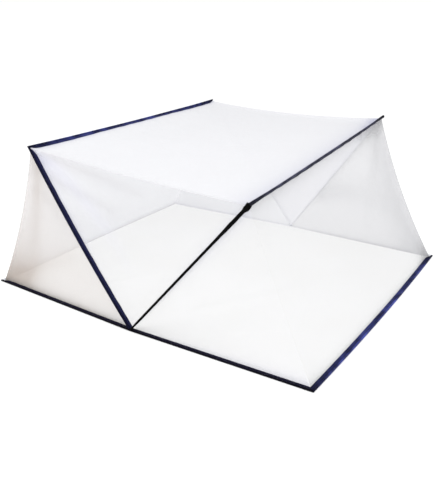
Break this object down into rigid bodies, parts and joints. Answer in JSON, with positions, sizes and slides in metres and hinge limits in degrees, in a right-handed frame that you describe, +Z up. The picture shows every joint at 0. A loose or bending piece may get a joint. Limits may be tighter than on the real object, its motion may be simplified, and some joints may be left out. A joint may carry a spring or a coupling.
{
  "type": "folding bed mosquito net with wire hoop frame",
  "caption": "Free-standing mosquito net for a bed, with a cloth floor and sheer panels fanned between tape-bound wire hoops that share a fold axis.",
  "frame": {"origin": "centre of the base on the surface that the net stands on, 2 cm towards the head end from the fold axis", "axes": "+Z up; +X along the bed from the head end, the higher hoop's side, towards the foot end; +Y across the bed along the fold axis, from the near side with the black leg to the far side"},
  "size_m": [1.9756, 1.663, 0.823],
  "materials": {
    "navy_binding": "woven navy tape stitched over the hoop's wire, with a soft blue sheen along its bead",
    "black_binding": "woven black tape, matt",
    "white_binding": "woven white tape, matt",
    "net": "fine knitted polyester net, white and see-through",
    "floor_cloth": "plain woven white cloth, matt, with faint soft creases"
  },
  "bodies": {
    "root": {"base_head_near_bar": "navy_binding", "base_head_end_bar": "white_binding", "base_head_far_bar": "white_binding", "base_foot_near_bar": "navy_binding", "base_foot_end_bar": "navy_binding", "base_foot_far_bar": "white_binding", "head_hoop_near_leg": "navy_binding", "head_hoop_top_bar": "navy_binding", "head_hoop_far_leg": "white_binding", "foot_hoop_near_leg": "black_binding", "foot_hoop_top_bar": "navy_binding", "foot_hoop_far_leg": "white_binding", "head_panel": "net", "roof_panel": "net", "foot_panel": "net", "near_head_gusset": "net", "near_mid_gusset": "net", "near_foot_gusset": "net", "far_head_gusset": "net", "far_mid_gusset": "net", "far_foot_gusset": "net", "floor_sheet": "floor_cloth"}
  },
  "joints": []
}
